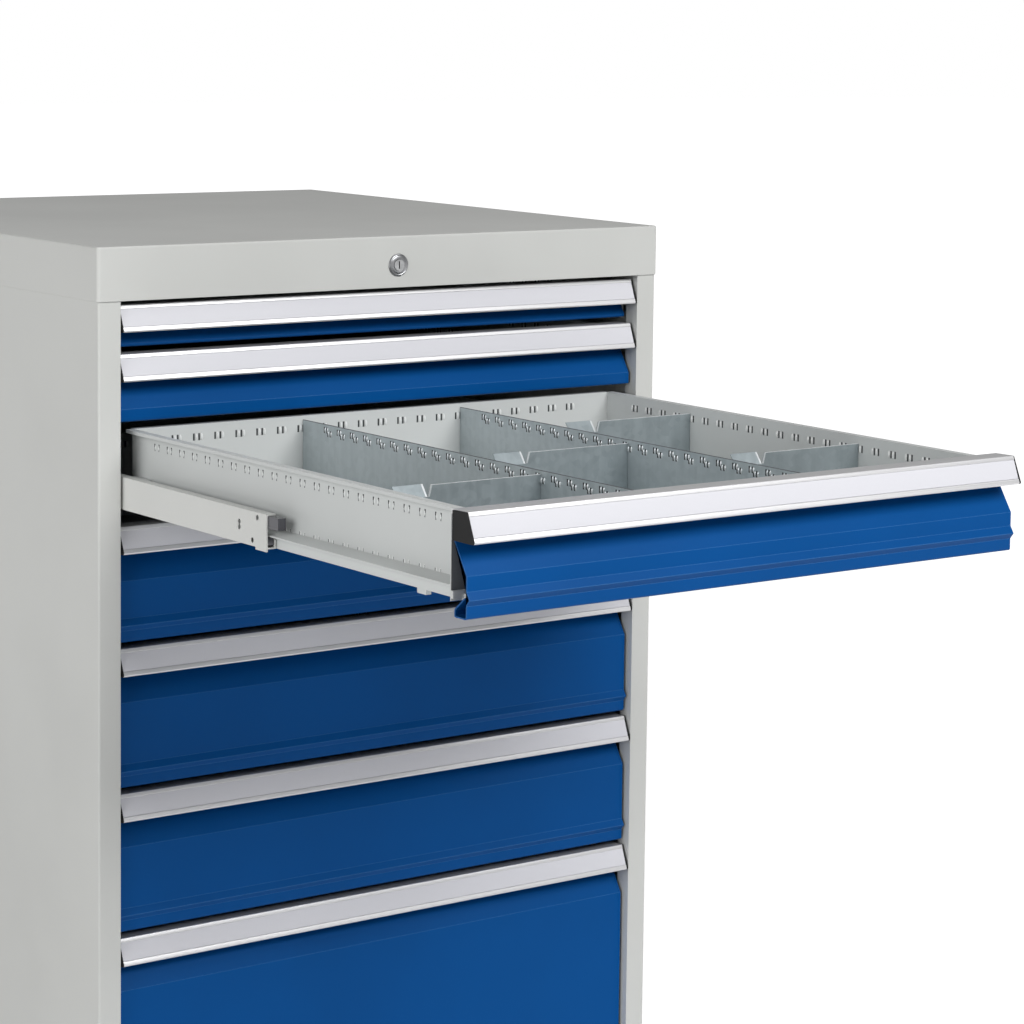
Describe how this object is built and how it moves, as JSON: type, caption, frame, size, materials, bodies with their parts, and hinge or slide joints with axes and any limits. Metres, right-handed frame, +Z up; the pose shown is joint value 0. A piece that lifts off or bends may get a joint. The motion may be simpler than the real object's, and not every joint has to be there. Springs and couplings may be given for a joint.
{
  "type": "drawer cabinet",
  "caption": "Freestanding sheet-steel tool cabinet with blue full-width drawers on telescopic roller slides, aluminium grip handles, a cam lock, and one divided drawer pulled open.",
  "frame": {"origin": "centre of the cabinet's footprint at floor level", "axes": "+X to the right seen from the front, +Y towards the back, +Z up; drawers open towards -Y"},
  "size_m": [0.705, 1.3514, 1.019],
  "materials": {
    "housing_paint": "fine-textured light grey powder coat",
    "front_paint": "satin blue powder coat",
    "tray_paint": "smooth light grey powder coat",
    "handle_aluminium": "satin anodised extrusion",
    "label_plastic": "plain white strip",
    "cap_plastic": "black moulded plastic",
    "slide_steel": "zinc-plated rolled steel",
    "roller_plastic": "dark moulded rollers on steel axles",
    "divider_steel": "galvanised sheet",
    "lock_chrome": "polished chrome",
    "rod_steel": "bright zinc-plated steel"
  },
  "bodies": {
    "cabinet": {"top_cover": "housing_paint", "left_side_panel": "housing_paint", "right_side_panel": "housing_paint", "back_panel": "housing_paint", "base": "housing_paint", "runner_frames": "slide_steel", "fixed_rollers": "roller_plastic", "lock_cylinder": "lock_chrome"},
    "drawer_1": {"drawer_1_tray": "tray_paint", "drawer_1_front": "front_paint", "drawer_1_handle": "handle_aluminium", "drawer_1_label": "label_plastic", "drawer_1_end_caps": "cap_plastic"},
    "slide_1": {"drawer_1_mid_rails": "slide_steel", "drawer_1_slide_rollers": "roller_plastic"},
    "drawer_2": {"drawer_2_tray": "tray_paint", "drawer_2_front": "front_paint", "drawer_2_handle": "handle_aluminium", "drawer_2_label": "label_plastic", "drawer_2_end_caps": "cap_plastic"},
    "slide_2": {"drawer_2_mid_rails": "slide_steel", "drawer_2_slide_rollers": "roller_plastic"},
    "drawer_3": {"drawer_3_tray": "tray_paint", "drawer_3_front": "front_paint", "drawer_3_handle": "handle_aluminium", "drawer_3_label": "label_plastic", "drawer_3_end_caps": "cap_plastic", "drawer_dividers": "divider_steel"},
    "slide_3": {"drawer_3_mid_rails": "slide_steel", "drawer_3_slide_rollers": "roller_plastic"},
    "drawer_4": {"drawer_4_tray": "tray_paint", "drawer_4_front": "front_paint", "drawer_4_handle": "handle_aluminium", "drawer_4_label": "label_plastic", "drawer_4_end_caps": "cap_plastic"},
    "slide_4": {"drawer_4_mid_rails": "slide_steel", "drawer_4_slide_rollers": "roller_plastic"},
    "drawer_5": {"drawer_5_tray": "tray_paint", "drawer_5_front": "front_paint", "drawer_5_handle": "handle_aluminium", "drawer_5_label": "label_plastic", "drawer_5_end_caps": "cap_plastic"},
    "slide_5": {"drawer_5_mid_rails": "slide_steel", "drawer_5_slide_rollers": "roller_plastic"},
    "drawer_6": {"drawer_6_tray": "tray_paint", "drawer_6_front": "front_paint", "drawer_6_handle": "handle_aluminium", "drawer_6_label": "label_plastic", "drawer_6_end_caps": "cap_plastic"},
    "slide_6": {"drawer_6_mid_rails": "slide_steel", "drawer_6_slide_rollers": "roller_plastic"},
    "drawer_7": {"drawer_7_tray": "tray_paint", "drawer_7_front": "front_paint", "drawer_7_handle": "handle_aluminium", "drawer_7_label": "label_plastic", "drawer_7_end_caps": "cap_plastic"},
    "slide_7": {"drawer_7_mid_rails": "slide_steel", "drawer_7_slide_rollers": "roller_plastic"},
    "key_plug": {"lock_plug": "rod_steel"},
    "locking_bar": {"lock_bar": "rod_steel"}
  },
  "joints": [
    {"name": "drawer_1_pull", "type": "slide", "parent": "cabinet", "child": "drawer_1", "axis": [0, -1, 0], "range_m": [0, 0.615]},
    {"name": "slide_1_run", "type": "slide", "parent": "cabinet", "child": "slide_1", "axis": [0, -1, 0], "range_m": [0, 0.335]},
    {"name": "drawer_2_pull", "type": "slide", "parent": "cabinet", "child": "drawer_2", "axis": [0, -1, 0], "range_m": [0, 0.615]},
    {"name": "slide_2_run", "type": "slide", "parent": "cabinet", "child": "slide_2", "axis": [0, -1, 0], "range_m": [0, 0.335]},
    {"name": "drawer_3_pull", "type": "slide", "parent": "cabinet", "child": "drawer_3", "axis": [0, -1, 0], "range_m": [-0.615, 0]},
    {"name": "slide_3_run", "type": "slide", "parent": "cabinet", "child": "slide_3", "axis": [0, -1, 0], "range_m": [-0.335, 0]},
    {"name": "drawer_4_pull", "type": "slide", "parent": "cabinet", "child": "drawer_4", "axis": [0, -1, 0], "range_m": [0, 0.615]},
    {"name": "slide_4_run", "type": "slide", "parent": "cabinet", "child": "slide_4", "axis": [0, -1, 0], "range_m": [0, 0.335]},
    {"name": "drawer_5_pull", "type": "slide", "parent": "cabinet", "child": "drawer_5", "axis": [0, -1, 0], "range_m": [0, 0.615]},
    {"name": "slide_5_run", "type": "slide", "parent": "cabinet", "child": "slide_5", "axis": [0, -1, 0], "range_m": [0, 0.335]},
    {"name": "drawer_6_pull", "type": "slide", "parent": "cabinet", "child": "drawer_6", "axis": [0, -1, 0], "range_m": [0, 0.615]},
    {"name": "slide_6_run", "type": "slide", "parent": "cabinet", "child": "slide_6", "axis": [0, -1, 0], "range_m": [0, 0.335]},
    {"name": "drawer_7_pull", "type": "slide", "parent": "cabinet", "child": "drawer_7", "axis": [0, -1, 0], "range_m": [0, 0.615]},
    {"name": "slide_7_run", "type": "slide", "parent": "cabinet", "child": "slide_7", "axis": [0, -1, 0], "range_m": [0, 0.335]},
    {"name": "lock_turn", "type": "hinge", "parent": "cabinet", "child": "key_plug", "pos_m": [0.0035, -0.37, 0.988], "axis": [0, -1, 0], "range_deg": [0, 90]},
    {"name": "lock_bar_lift", "type": "slide", "parent": "cabinet", "child": "locking_bar", "axis": [0, 0, 1], "range_m": [0, 0.0113]}
  ],
  "couplings": [
    {"joint": "slide_1_run", "follows": "drawer_1_pull", "ratio": 0.5447},
    {"joint": "slide_2_run", "follows": "drawer_2_pull", "ratio": 0.5447},
    {"joint": "slide_3_run", "follows": "drawer_3_pull", "ratio": 0.5447},
    {"joint": "slide_4_run", "follows": "drawer_4_pull", "ratio": 0.5447},
    {"joint": "slide_5_run", "follows": "drawer_5_pull", "ratio": 0.5447},
    {"joint": "slide_6_run", "follows": "drawer_6_pull", "ratio": 0.5447},
    {"joint": "slide_7_run", "follows": "drawer_7_pull", "ratio": 0.5447},
    {"joint": "lock_turn", "follows": "lock_bar_lift", "rad_per_m": 139}
  ]
}
